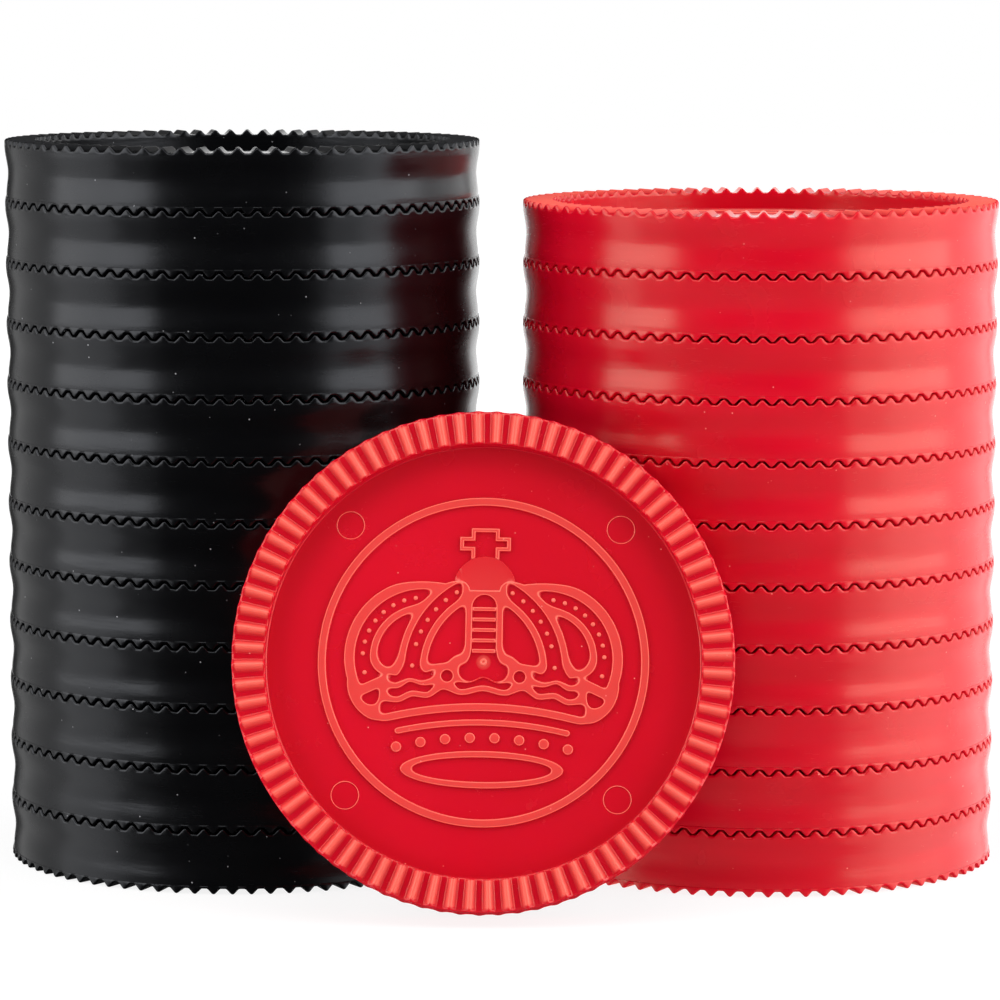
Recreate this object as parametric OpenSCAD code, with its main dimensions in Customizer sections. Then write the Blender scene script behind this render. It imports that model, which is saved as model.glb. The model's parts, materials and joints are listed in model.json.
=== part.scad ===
// Set of interlocking checkers: two stacks and one piece that leans against them.
// Every piece is the same moulding: a round disc with a hollow on both faces, a waisted
// side wall, radial ridges on both rims that lock into the next piece, and a crown in
// relief on one face. The set stands on z = 0 and is centred on x = 0, y = 0.

/* [Checker] */
// Outer diameter over the ridged rim
piece_d = 76.2; // [70:0.1:90]
// Thickness from the ridge crests of one face to those of the other
piece_t = 10; // [8.5:0.1:14]
// Width of the ridged rim
rim_w = 5; // [3.5:0.1:6]
// Thickness of the web between the two hollow faces
web_t = 3.2; // [2:0.1:4]
// How far the side wall draws in at its waist
waist_depth = 0.35; // [0.2:0.05:1]
// Height of the straight edge between the foot of the ridges and the waisted wall
edge_h = 0.3; // [0.1:0.05:0.8]
// Radius of the fillet where the hollow meets the web
fillet_r = 0.8; // [0.4:0.1:1.8]

/* [Ridges] */
// Number of ridges on each face
ridge_count = 80; // [60:2:100]
// Height of a ridge
ridge_h = 0.85; // [0.5:0.05:1.2]
// Gap that is left between the ridges of two nested pieces
nest_gap = 0.45; // [0.3:0.05:0.6]

/* [Crowned face] */
// Height of the ring and the crown above the web
relief_h = 0.45; // [0.2:0.05:0.8]
// Outer diameter of the raised ring
ring_d = 50.4; // [46:0.1:54]
// Width of the raised ring
ring_w = 1.3; // [0.6:0.1:2]
// Width of the crown across its outer arches
crown_w = 42.4; // [30:0.1:43]
// Width of the narrow lines of the cross and of the bars in the column
line_w = 0.65; // [0.3:0.05:0.8]
// Diameter of the beads below the crown
bead_d = 1.66; // [0.8:0.02:2]
// Number of beads below the crown
bead_count = 8; // [4:1:9]
// Diameter of the ejector pin marks
pin_mark_d = 4.2; // [2.5:0.1:5]
// Depth of the ejector pin marks
pin_mark_depth = 0.12; // [0.05:0.01:0.3]
// Number of ejector pin marks
pin_mark_count = 4; // [3:1:6]

/* [Set] */
// Number of black pieces in the left stack
black_count = 12; // [2:1:12]
// Number of red pieces in the right stack
red_count = 11; // [2:1:12]
// Clear gap between the two stacks
stack_gap = 7; // [3:0.1:15]
// How far the front piece leans back, in degrees
lean_angle = 15; // [8:0.5:25]
// Clearance between the front piece and the stacks it leans on
lean_gap = 0.3; // [0.2:0.05:1]
// How far the front piece stands to the left of the middle of the two stacks
front_shift = 2.5; // [0:0.1:5]

/* [Hidden] */
$fn = 96;
black = [0.09, 0.09, 0.1];
red = [0.86, 0.08, 0.13];

// Overrun of every cut
cut = 1;
// How far a relief is rooted in the web
root = 0.3;
// How far the plain rim stands above the crests before the valleys are cut
crest_trim = 0.05;

// Radii and levels of one piece, measured from its middle plane
rim_r = piece_d / 2;
rim_in_r = rim_r - rim_w;
crest_z = piece_t / 2;
blank_z = crest_z + crest_trim;
web_z = web_t / 2;
waist_z = crest_z - ridge_h - edge_h;
// Arc of the waist, deepest in the middle plane
waist_arc_r = (pow(waist_z, 2) + pow(waist_depth, 2)) / (2 * waist_depth);

// Ridges: V-shaped valleys that narrow and shallow towards the axis
ridge_step = 360 / ridge_count;
ridge_pitch = PI * piece_d / ridge_count;
valley_slope = atan(ridge_h / rim_r);

// Stacking: crests of one piece stand in the valleys of the next
stack_step = piece_t - ridge_h + nest_gap;
stack_x = (piece_d + stack_gap) / 2;

// How far a stack reaches towards the leaning rim, tried at every degree up the rim, for a
// stack whose axis stands this far to the side of the front piece's middle
function lean_reach(axis_x) = max([for (a = [0 : 1 : 89])
    let (side = axis_x - rim_r * cos(a))
    if (side < rim_r) rim_r * sin(a) * sin(lean_angle) + sqrt(pow(rim_r, 2) - pow(side, 2))]);
black_reach = lean_reach(stack_x - front_shift);
red_reach = lean_reach(stack_x + front_shift);
// The red stack stands this far forward, so that the front piece leans on both
red_y = red_reach - black_reach;
front_back_y = -black_reach - lean_gap / cos(lean_angle);
front_y = front_back_y - crest_z * cos(lean_angle);
front_z = rim_r * cos(lean_angle) + crest_z * sin(lean_angle);
// Front of the whole set; the set is centred between it and the back of the black stack
set_front_y = front_y - crest_z * cos(lean_angle) - rim_r * sin(lean_angle);
set_mid_y = (rim_r + set_front_y) / 2;

// Pin marks lie this share of the way from the ring to the rim
pin_mark_share = 0.47;
pin_mark_place_r = ring_d / 2 + (rim_in_r - ring_d / 2) * pin_mark_share;

// The crown is drawn about the middle of the face, for its right half, and mirrored.
// Places and radii are shares of its width, and no edge lies further out than reach_share.
reach_share = 0.5;
// Outer arch: its centre, and the radii of outline, channel and petal
outer_place_share = [0.217, 0.013];
outer_shares = [0.283, 0.244, 0.191, 0.164];
// Inner arch, whose centre lies beyond the middle line: outline, channel and teardrop
inner_place_share = [-0.0755, -0.031];
inner_shares = [0.384, 0.357, 0.305, 0.278];
// Lowest points of the outer channel, the petal, the inner channel and the teardrop
outer_foot_share = -0.108;
petal_foot_share = -0.033;
inner_foot_share = -0.038;
teardrop_foot_share = 0;
// Inner end of the inner channel, beside the orb
inner_top_share = 0.083;
// Orb on top: height of its centre and radius
orb_share = 0.269;
orb_r_share = 0.111;
// Cross on the orb: half widths and heights of its upright and its arms
upright_shares = [0.051, 0.354, 0.483];
arm_shares = [0.092, 0.4, 0.451];
// Column: half widths of slot and wall, foot of the slot, and centre of its round top
slot_share = 0.0425;
column_share = 0.066;
slot_foot_share = -0.02;
slot_top_share = 0.198;
bar_count = 5;
bar_top_share = 0.19;
bar_step_share = 0.0377;
// Bands below, all about one far centre: the radii of the main band's lower and upper edge,
// the hollow above it, the small hollows, the loose band and the row of beads
band_place_share = -1.575;
band_shares = [1.401, 1.43];
hollow_shares = [1.43, 1.455];
hollow_end_share = 0.345;
island_shares = [1.481, 1.5];
middle_island_share = 0.092;
side_island_shares = [0.175, 0.325];
loose_shares = [1.347, 1.369];
loose_end_share = 0.307;
beads_r_share = 1.302;
bead_step_share = 0.0885;
// Round holes beside the column and at the ends of the band: place and radius
hole_place_share = [0.13, -0.052];
hole_r_share = 0.021;
end_hole_place_share = [0.399, -0.139];
end_hole_r_share = 0.026;
// Oval of the base: height of its centre, and its outer and inner half axes
base_share = -0.38;
base_outer_shares = [0.288, 0.066];
base_inner_shares = [0.241, 0.0425];
oval_points = 20;

function two_digits(n) = n < 10 ? str("0", n) : str(n);
black_names = [for (i = [1 : black_count]) str("black_piece_", two_digits(i))];
red_names = [for (i = [1 : red_count]) str("red_piece_", two_digits(i))];

// Half of the piece's section, to be turned about the axis
module section() {
    difference() {
        translate([0, -blank_z]) square([rim_r, 2 * blank_z]);
        translate([rim_r - waist_depth + waist_arc_r, 0]) circle(r = waist_arc_r, $fn = 180);
        for (side = [0, 1])
            mirror([0, side]) {
                translate([-cut, web_z]) square([rim_in_r - fillet_r + cut, blank_z]);
                translate([rim_in_r - fillet_r, web_z + fillet_r]) circle(r = fillet_r);
                translate([-cut, web_z + fillet_r]) square([rim_in_r + cut, blank_z]);
            }
    }
}

// One valley between two ridges, laid along +x. It slopes down from the axis at the crests'
// height, so that the crest between two valleys stays level.
module valley() {
    translate([0, 0, crest_z])
        rotate([0, valley_slope, 0])
            translate([rim_in_r - cut, 0, 0])
                rotate([90, 0, 90])
                    linear_extrude(rim_w + 2 * cut)
                        polygon([[0, 0], [ridge_pitch, 2 * ridge_h], [-ridge_pitch, 2 * ridge_h]]);
}

// The plain moulding: disc, hollows, waist and ridges on both faces.
// The ridges of the lower face stand under the valleys of the upper one.
module blank() {
    difference() {
        rotate_extrude($fn = 160) section();
        for (i = [0 : ridge_count - 1]) {
            rotate(i * ridge_step) valley();
            rotate((i + 0.5) * ridge_step) mirror([0, 0, 1]) valley();
        }
    }
}

// A disc of the crown, by the shares of its place and radius
module crown_disc(place_share, r_share) {
    translate(place_share * crown_w) circle(r = r_share * crown_w);
}

// A ring between two radii about one place
module crown_ring(place_share, out_share, in_share) {
    difference() {
        crown_disc(place_share, out_share);
        crown_disc(place_share, in_share);
    }
}

// Box of the crown between two x and two y shares
module crown_box(x_shares, y_shares) {
    translate([x_shares[0], y_shares[0]] * crown_w)
        square([x_shares[1] - x_shares[0], y_shares[1] - y_shares[0]] * crown_w);
}

// The part of a ring about the far centre that lies between two x shares
module band_piece(r_shares, x_shares) {
    intersection() {
        crown_ring([0, band_place_share], r_shares[1], r_shares[0]);
        crown_box(x_shares, [-reach_share, reach_share]);
    }
}

module both_halves() {
    children();
    mirror([1, 0]) children();
}

module crown_outline() {
    difference() {
        union() {
            both_halves() crown_disc(outer_place_share, outer_shares[0]);
            intersection() {
                crown_disc(inner_place_share, inner_shares[0]);
                mirror([1, 0]) crown_disc(inner_place_share, inner_shares[0]);
            }
            crown_disc([0, orb_share], orb_r_share);
        }
        crown_disc([0, band_place_share], band_shares[0]);
    }
}

// Openings of the right half: channels, petal, teardrop and small hollows
module crown_openings() {
    difference() {
        intersection() {
            crown_ring(outer_place_share, outer_shares[1], outer_shares[2]);
            crown_box([0, reach_share], [outer_foot_share, reach_share]);
        }
        crown_disc(inner_place_share, inner_shares[0]);
    }
    difference() {
        intersection() {
            crown_disc(outer_place_share, outer_shares[3]);
            crown_box([0, reach_share], [petal_foot_share, reach_share]);
        }
        crown_disc(inner_place_share, inner_shares[0]);
    }
    intersection() {
        crown_ring(inner_place_share, inner_shares[1], inner_shares[2]);
        crown_box([inner_top_share, reach_share], [inner_foot_share, reach_share]);
    }
    intersection() {
        crown_disc(inner_place_share, inner_shares[3]);
        crown_box([column_share, reach_share], [teardrop_foot_share, reach_share]);
    }
    crown_disc(hole_place_share, hole_r_share);
    crown_disc(end_hole_place_share, end_hole_r_share);
    band_piece(island_shares, side_island_shares);
}

// Openings that cross the middle line: the column's slot and the hollows of the band
module middle_openings() {
    crown_box([-slot_share, slot_share], [slot_foot_share, slot_top_share]);
    crown_disc([0, slot_top_share], slot_share);
    band_piece(island_shares, [-middle_island_share, middle_island_share]);
    band_piece(hollow_shares, [-hollow_end_share, hollow_end_share]);
}

module column_bars() {
    for (i = [0 : bar_count - 1])
        translate([-slot_share * crown_w, (bar_top_share - i * bar_step_share) * crown_w - line_w / 2])
            square([2 * slot_share * crown_w, line_w]);
}

// The cross, drawn in lines: an upright and its arms, less the same shape set in by a line
module cross_shape(inset) {
    translate([-upright_shares[0] * crown_w + inset, upright_shares[1] * crown_w])
        square([
            2 * (upright_shares[0] * crown_w - inset),
            (upright_shares[2] - upright_shares[1]) * crown_w - inset
        ]);
    translate([-arm_shares[0] * crown_w + inset, arm_shares[1] * crown_w + inset])
        square([
            2 * (arm_shares[0] * crown_w - inset),
            (arm_shares[2] - arm_shares[1]) * crown_w - 2 * inset
        ]);
}

module cross() {
    difference() {
        cross_shape(0);
        cross_shape(line_w);
        crown_disc([0, orb_share], orb_r_share);
    }
}

function oval(half_axes) = [for (i = [0 : oval_points - 1])
    let (turn = i * 360 / oval_points)
    [half_axes[0] * cos(turn), half_axes[1] * sin(turn)]];

// Below the crown: the loose band, the row of beads and the oval of the base
module crown_base() {
    band_piece(loose_shares, [-loose_end_share, loose_end_share]);
    for (i = [0 : bead_count - 1])
        let (turn = (i - (bead_count - 1) / 2) * asin(bead_step_share / beads_r_share))
        translate([beads_r_share * sin(turn), band_place_share + beads_r_share * cos(turn)] * crown_w)
            circle(d = bead_d);
    translate([0, base_share * crown_w])
        difference() {
            polygon(oval(base_outer_shares * crown_w));
            polygon(oval(base_inner_shares * crown_w));
        }
}

module crown() {
    difference() {
        crown_outline();
        both_halves() crown_openings();
        middle_openings();
    }
    column_bars();
    cross();
    crown_base();
}

module ring() {
    difference() {
        circle(d = ring_d, $fn = 180);
        circle(d = ring_d - 2 * ring_w, $fn = 180);
    }
}

// One finished checker, its middle plane on z = 0 and its crowned face up
module checker() {
    difference() {
        blank();
        for (i = [0 : pin_mark_count - 1])
            rotate((i + 0.5) * 360 / pin_mark_count)
                translate([pin_mark_place_r, 0, web_z - pin_mark_depth])
                    cylinder(d = pin_mark_d, h = cut);
    }
    translate([0, 0, web_z - root])
        linear_extrude(root + relief_h) {
            ring();
            crown();
        }
}

module black_piece(i) {
    color(black) translate([-stack_x, -set_mid_y, crest_z + i * stack_step]) checker();
}

module red_piece(i) {
    color(red) translate([stack_x, red_y - set_mid_y, crest_z + i * stack_step]) checker();
}

module red_front_piece() {
    color(red)
        translate([-front_shift, front_y - set_mid_y, front_z])
            rotate([90 - lean_angle, 0, 0]) checker();
}

for (i = [0 : black_count - 1])
    black_piece(i);
for (i = [0 : red_count - 1])
    red_piece(i);
red_front_piece();
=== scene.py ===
"""Interlocking checkers: a black stack, a red stack and one crowned piece that leans on both."""

import json
import math

import bmesh
import bpy
import numpy as np
from bpy.props import FloatProperty, FloatVectorProperty, IntProperty, PointerProperty
from mathutils import Matrix, Vector
from mathutils.geometry import delaunay_2d_cdt


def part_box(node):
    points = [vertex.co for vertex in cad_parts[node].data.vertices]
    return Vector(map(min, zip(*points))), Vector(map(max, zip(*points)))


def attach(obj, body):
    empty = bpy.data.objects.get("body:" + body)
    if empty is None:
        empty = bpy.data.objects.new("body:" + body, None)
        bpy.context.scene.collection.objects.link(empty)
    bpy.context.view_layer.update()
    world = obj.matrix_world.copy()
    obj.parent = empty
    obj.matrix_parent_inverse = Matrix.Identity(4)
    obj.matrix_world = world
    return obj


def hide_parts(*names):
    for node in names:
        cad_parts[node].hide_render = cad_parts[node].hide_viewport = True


bl_info = {
    "name": "Interlocking Checkers",
    "version": (1, 0, 0),
    "blender": (4, 5, 0),
    "location": "View3D > Sidebar > Checkers",
    "description": "Moulded checkers in two stacks, with a crowned piece in front, and their studio",
    "category": "Object",
}

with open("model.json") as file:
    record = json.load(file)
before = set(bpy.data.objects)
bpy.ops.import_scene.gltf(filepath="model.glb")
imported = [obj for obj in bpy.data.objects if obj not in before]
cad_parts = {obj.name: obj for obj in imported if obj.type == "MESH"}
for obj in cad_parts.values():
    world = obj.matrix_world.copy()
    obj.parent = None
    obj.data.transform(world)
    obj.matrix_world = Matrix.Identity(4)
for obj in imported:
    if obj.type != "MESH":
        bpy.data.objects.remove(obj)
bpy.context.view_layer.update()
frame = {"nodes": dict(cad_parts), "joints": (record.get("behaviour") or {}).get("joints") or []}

BLACK_NODES = sorted(n for n in frame["nodes"] if n.startswith("black_piece"))
RED_NODES = sorted(n for n in frame["nodes"] if n.startswith("red_piece"))
FRONT_NODE = "red_front_piece"
PIECE_LOW, PIECE_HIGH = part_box(BLACK_NODES[0])
PIECE_SIZE = PIECE_HIGH - PIECE_LOW
STACK_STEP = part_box(BLACK_NODES[1])[0].z - PIECE_LOW.z
FRONT_NORMAL = next(Vector(j["axis"]) for j in frame["joints"] if j["child"] == FRONT_NODE)

MILLIMETRES = 1000


def length(name, description, default):
    """A size in metres."""
    return FloatProperty(
        name=name, description=description, default=default, min=0, precision=5, unit="LENGTH"
    )


def number(name, description, default):
    """A plain number."""
    return FloatProperty(name=name, description=description, default=default, min=0, precision=3)


def angle(name, description, default):
    """An angle in radians."""
    return FloatProperty(name=name, description=description, default=default, subtype="ANGLE")


def colour(name, description, default):
    """A linear colour."""
    return FloatVectorProperty(
        name=name, description=description, default=default, min=0, max=1, size=3, subtype="COLOR"
    )


class CheckerBody(bpy.types.PropertyGroup):
    """Sizes of one moulded checker"""

    diameter: length("Diameter", "Across the ridged rim", PIECE_SIZE.x)
    stack_step: length("Stack Step", "From one piece of a stack to the next", STACK_STEP)
    seam_gap: length("Seam Gap", "Gap between the ridges of two stacked pieces", 0.00015)
    rim_width: length("Rim Width", "Width of the ridged rim", 0.005)
    web_thickness: length("Web", "Thickness of the web between the hollow faces", 0.0032)
    fillet: length("Fillet", "Radius where the rim meets the web", 0.00025)
    waist_depth: length("Waist", "How far the side wall draws in", 0.0004)
    ridge_count: IntProperty(name="Ridges", description="Ridges on each face", default=80, min=8)
    ridge_height: length("Ridge Height", "From valley to crest", 0.00085)
    crest_width: length("Crest Width", "Width of a ridge's top", 0.00036)
    valley_width: length("Valley Width", "Width of the floor between two ridges", 0.001)
    ridge_round: length("Ridge Round", "Softening of crests and valleys", 0.00017)
    rim_round: length("Rim Round", "Rounding of the rim's outer edge", 0.00034)
    flare: length("Flare", "How far the lower crests stand out past their roots", 0.00012)
    ledge: length("Ledge", "Width of the ledge over the lower ridges", 0.00006)
    front_turn: angle("Front Piece Turn", "Turn of the leaning piece about its own axis", -0.0157)

    @property
    def thickness(self):
        """From crest to crest"""
        return self.stack_step + self.ridge_height - self.seam_gap


class CheckerCrown(bpy.types.PropertyGroup):
    """Sizes of the raised ring, the crown and the marks on the crowned face"""

    width: length("Crown Width", "Across the outer arches", 0.0424)
    relief: length("Relief", "Height of the crown above the web", 0.00045)
    ring_diameter: length("Ring Diameter", "Outer diameter of the raised ring", 0.0504)
    ring_width: length("Ring Width", "Width of the raised ring", 0.0013)
    line_width: length("Line Width", "Narrow lines of the cross and the column", 0.00065)
    bead_diameter: length("Bead Diameter", "Beads below the crown", 0.00166)
    stud_diameter: length("Stud Diameter", "Small studs in the arches", 0.0007)
    pip_diameter: length("Pip Diameter", "Gate pip in the middle of the face", 0.0011)
    pin_mark_diameter: length("Pin Mark Diameter", "Ejector pin marks", 0.0042)
    pin_mark_depth: length("Pin Mark Depth", "Depth of the ejector pin marks", 0.00006)
    witness_width: length("Witness Line", "Fine raised line round a pin mark", 0.00018)


class CheckerPlastic(bpy.types.PropertyGroup):
    """Colours, painted highlights and gloss of the two plastics"""

    red: colour("Red", "Body colour of the red pieces", (0.62, 0.0006, 0.016))
    red_deep: colour("Deep Red", "Darker flow marks in the red", (0.57, 0.0003, 0.013))
    # Painted highlight: a much lighter red mixed into the matte crests, relief, studs, pip and pin-mark
    # lines
    red_matte_and_painted_highlight: colour("Matte Red", "Matte ridges and relief of the red pieces", (0.95, 0.15, 0.11))
    red_dust: colour("Red Dust", "Dust and rubbed places on the red", (0.85, 0.25, 0.22))
    red_sheen: colour("Red Sheen", "Tint of the red pieces' reflections", (1.0, 0.96, 0.72))
    red_shine: number("Red Shine", "Specular level of the red", 0.52)
    black: colour("Black", "Body colour of the black pieces", (0.0018, 0.0018, 0.0022))
    black_deep: colour("Deep Black", "Darker flow marks in the black", (0.0012, 0.0012, 0.0015))
    # Painted highlight: a slightly lighter black mixed into the same matte places
    black_matte_and_painted_highlight: colour("Matte Black", "Matte ridges and relief of the black pieces", (0.005, 0.005, 0.0055))
    black_dust: colour("Black Dust", "Dust and rubbed places on the black", (0.3, 0.3, 0.31))
    black_sheen: colour("Black Sheen", "Tint of the black pieces' reflections", (0.9, 0.93, 1.0))
    black_shine: number("Black Shine", "Specular level of the black", 0.32)
    red_glow: number("Red Glow", "Share of light that passes through the red's surface", 0.25)
    black_glow: number("Black Glow", "Share of light that passes through the black's surface", 0)
    roughness: number("Roughness", "Mean roughness of the moulded surface", 0.25)
    matte_roughness: number("Matte Roughness", "Added roughness of ridges and relief", 0.22)


class CheckerStudio(bpy.types.PropertyGroup):
    """Camera, lights and floor"""

    camera_place: FloatVectorProperty(
        name="Camera",
        description="Place of the camera",
        unit="LENGTH",
        default=(0.0022, -0.72, 0.1451),
    )
    camera_pitch: angle("Pitch", "How far the camera looks down", 0.11925)
    camera_turn: angle("Turn", "How far the camera turns left", 0.00335)
    camera_roll: angle("Roll", "How far the camera is tilted to the right", -0.0009)
    lens: number("Lens", "Focal length in millimetres", 163.65)
    left_light: number("Left Panels", "Brightness of the panels on the left", 3.2)
    right_light: number("Right Panels", "Brightness of the panels on the right", 3.7)
    top_light: number("Top Panel", "Brightness of the panel overhead", 2.8)
    front_light: number("Front Panel", "Brightness of the small panel above the camera", 0.25)
    back_light: number("Back Panel", "Brightness of the panel behind", 1.6)
    surround: number("Surround", "Brightness of the dim room", 0.03)
    floor_radius: length("Floor", "Radius of the floor", 3.0)


# The body of a checker: rings of points about z, with its middle plane on z = 0. The fourth
# number of a point says how matte the moulding is there, and how far a painted highlight lightens it.

# Columns of a ridged ring for each column of a plain one
COARSE_STEP = 9
WAIST_RINGS = 17
EDGE_RINGS = 4
FILLET_RINGS = 4
# The ridges' roots lie this far below their valleys, in roundings of the rim's edge
ROOT_DROP = 1.2
# Middle of the rim's softened inner edge, in softenings
INNER_EDGE_SHARE = 0.3
# Height of the ledge's slant, as a share of its width
LEDGE_SLANT_SHARE = 0.25
ROUND_STEPS = (-1, -1 / 3, 1 / 3, 1)
# Plain moulding, and the ridge crests: matte, and painted lighter as a highlight over the valleys
PLAIN, CREST_MATTE_AND_PAINTED_HIGHLIGHT = 0, 0.75


def ridge_columns(body, crest_first):
    """Angles of the columns round a rim, and the height there: 0 in a valley, 1 on a crest."""
    pitch = math.pi * body.diameter / body.ridge_count
    valley = body.valley_width / 2 / pitch
    crest = 0.5 - body.crest_width / 2 / pitch
    ease = body.ridge_round / pitch
    lift = ease / (crest - valley) / 4
    rise = [(0, 0)]
    rise += [(valley + t * ease, lift * (1 + t) ** 2) for t in ROUND_STEPS]
    rise += [(crest + t * ease, 1 - lift * (1 - t) ** 2) for t in ROUND_STEPS]
    rise.append((0.5, 1))
    ridge = rise + [(1 - step, height) for step, height in rise[-2:0:-1]]
    start = 0.5 if crest_first else 0
    columns = []
    for k in range(body.ridge_count):
        columns += [((k + start + step) % body.ridge_count, height) for step, height in ridge]
    steps, heights = np.array(sorted(columns)).T
    return steps * math.tau / body.ridge_count, heights


def ring(angles, radius, z, matte_and_painted_highlight=PLAIN):
    """Points round the axis, with one radius and height or one for each angle."""
    points = np.empty((len(angles), 4))
    points[:, 0] = radius * np.cos(angles)
    points[:, 1] = radius * np.sin(angles)
    points[:, 2] = z
    points[:, 3] = matte_and_painted_highlight
    return points


def face_rings(body, crest_first, flare):
    """Rings of the upper face, from the foot of its ridges over the rim and down to the web."""
    angles, heights = ridge_columns(body, crest_first)
    rim_r = body.diameter / 2
    inner_r = rim_r - body.rim_width
    crest_z = body.thickness / 2
    web_z = body.web_thickness / 2
    edge = body.rim_round
    soft = body.ridge_round

    def top(radius):
        return crest_z - body.ridge_height * radius / rim_r * (1 - heights)

    def wall(z):
        return rim_r - flare * (crest_z - z) / body.ridge_height

    root_z = crest_z - body.ridge_height - ROOT_DROP * edge
    wall_r = wall(top(rim_r))
    rings = [ring(angles, wall(root_z), root_z)]
    for turn in np.linspace(0, math.pi / 2, EDGE_RINGS):
        radius = wall_r - edge * (1 - math.cos(turn))
        rings.append(ring(angles, radius, top(radius) - edge * (1 - math.sin(turn))))
    # The flat of the rim, its crests painted lighter as a highlight
    rings += [
        ring(angles, rim_r - 2 * edge, top(rim_r - 2 * edge), CREST_MATTE_AND_PAINTED_HIGHLIGHT * heights),
        ring(angles, inner_r + 2 * soft, top(inner_r + 2 * soft), CREST_MATTE_AND_PAINTED_HIGHLIGHT * heights),
        ring(angles, inner_r + soft, top(inner_r + soft)),
        ring(angles, inner_r + soft * INNER_EDGE_SHARE, top(inner_r) - soft * INNER_EDGE_SHARE),
        ring(angles, inner_r, top(inner_r) - soft),
        ring(angles, inner_r, crest_z - body.ridge_height - 2 * soft),
    ]
    for turn in np.linspace(0, math.pi / 2, FILLET_RINGS):
        radius = inner_r - body.fillet * (1 - math.cos(turn))
        rings.append(ring(angles[::COARSE_STEP], radius, web_z + body.fillet * (1 - math.sin(turn))))
    rings.append(ring(angles[::COARSE_STEP], inner_r - 2 * body.fillet, web_z))
    return rings


def waist_rings(body):
    """Rings of the side wall, from its lower ledge up to its upper edge."""
    angles = np.arange(2 * body.ridge_count) * math.pi / body.ridge_count
    rim_r = body.diameter / 2
    edge_z = body.thickness / 2 - body.ridge_height - ROOT_DROP * body.rim_round
    lower_r = rim_r - body.flare * (1 + ROOT_DROP * body.rim_round / body.ridge_height) - body.ledge
    rings = []
    for k in np.linspace(-1, 1, WAIST_RINGS):
        straight_r = lower_r + (rim_r - lower_r) * (1 + k) / 2
        drawn_in = body.waist_depth * (1 + math.cos(math.pi * k)) / 2
        rings.append(ring(angles, straight_r - drawn_in, k * (edge_z - LEDGE_SLANT_SHARE * body.ledge)))
    return rings


def ring_stretch(start, columns, coarse, index):
    """Points of one ring along one face, from one coarse column to the next."""
    step = columns // coarse
    return [int(start + (index * step + i) % columns) for i in range(step + 1)]


def skin(rings):
    """(points, faces) of the surface through rings, some of which have more columns than others."""
    starts = np.cumsum([0] + [len(r) for r in rings])
    faces = []
    for k in range(len(rings) - 1):
        below, above = len(rings[k]), len(rings[k + 1])
        coarse = min(below, above)
        for c in range(coarse):
            lower_side = ring_stretch(starts[k], below, coarse, c)
            upper_side = ring_stretch(starts[k + 1], above, coarse, c)
            faces.append(lower_side + upper_side[::-1])
    return np.concatenate(rings), faces


# The crown, drawn in crown widths about the middle of the face as a map of distances: below zero
# is raised. Each shape is drawn for the right half, and x is mirrored.

OUTER_PLACE_SHARE = (0.217, 0.013)
OUTER_OUTLINE_SHARE, OUTER_CHANNEL_SHARE, PETAL_SHARE, PETAL_WALL_SHARE = 0.283, 0.244, 0.164, 0.027
INNER_PLACE_SHARE = (-0.0755, -0.031)
INNER_OUTLINE_SHARE, INNER_CHANNEL_SHARES, DROP_SHARE = 0.384, (0.305, 0.357), 0.278
CORNER_PLACE_SHARE, CORNER_SHARE = (0.342, -0.08), 0.146
ORB_PLACE_SHARE, ORB_SHARE = (0, 0.269), 0.111
# Above the column the arches end in round ends, and the lower orb shows between them
ARCH_TOP_SHARE, ARCH_END_PLACE_SHARE, ARCH_END_SHARE = 0.294, (0.0932, 0.251), 0.042
# Feet of the openings: the height at one place, and the slope there
OUTER_FOOT_SHARES, OUTER_FOOT_SLOPE = (0.373, -0.059), -0.463
DROP_FOOT_SHARES, DROP_FOOT_SLOPE = (0.083, 0.0035), -0.146
PETAL_FOOT_SHARE, PETAL_CORNER_SHARE = -0.036, 0.08
# Column: half width of the slot, its wall, centre of its round top, top of the column, and bars
SLOT_SHARE, COLUMN_WALL_SHARE, SLOT_TOP_SHARE, COLUMN_TOP_SHARE = 0.0425, 0.0255, 0.198, 0.258
BAR_COUNT, BAR_TOP_SHARE, BAR_STEP_SHARE = 5, 0.19, 0.0377
# Where the inner channels end beside the column
INNER_TOP_SHARE = 0.08
# Cross: half width, foot and top of its upright and of its arms
UPRIGHT_SHARES, ARM_SHARES = (0.051, 0.34, 0.483), (0.092, 0.4, 0.451)
# Turning points of the two wavy lines of the band, and their width
UPPER_WAVE_SHARES = (
    (0, -0.047),
    (0.059, -0.0665),
    (0.13, -0.054),
    (0.211, -0.078),
    (0.261, -0.066),
    (0.314, -0.0903),
    (0.37, -0.08),
)
LOWER_WAVE_SHARES = (
    (0, -0.0955),
    (0.077, -0.11),
    (0.1415, -0.092),
    (0.206, -0.1226),
    (0.249, -0.118),
    (0.31, -0.1403),
    (0.37, -0.135),
)
WAVE_LINE_SHARE = 0.0225
# Openings along the wavy lines: their ends, and the height of the pockets above the upper line
MIDDLE_END_SHARE, SIDE_END_SHARES, POCKET_END_SHARES = 0.105, (0.17, 0.343), (0.168, 0.349)
POCKET_SHARE, BELL_SHARE, BELL_END_SHARE, BELL_CORNER_SHARE = 0.024, 0.034, 0.088, 0.07
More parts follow.
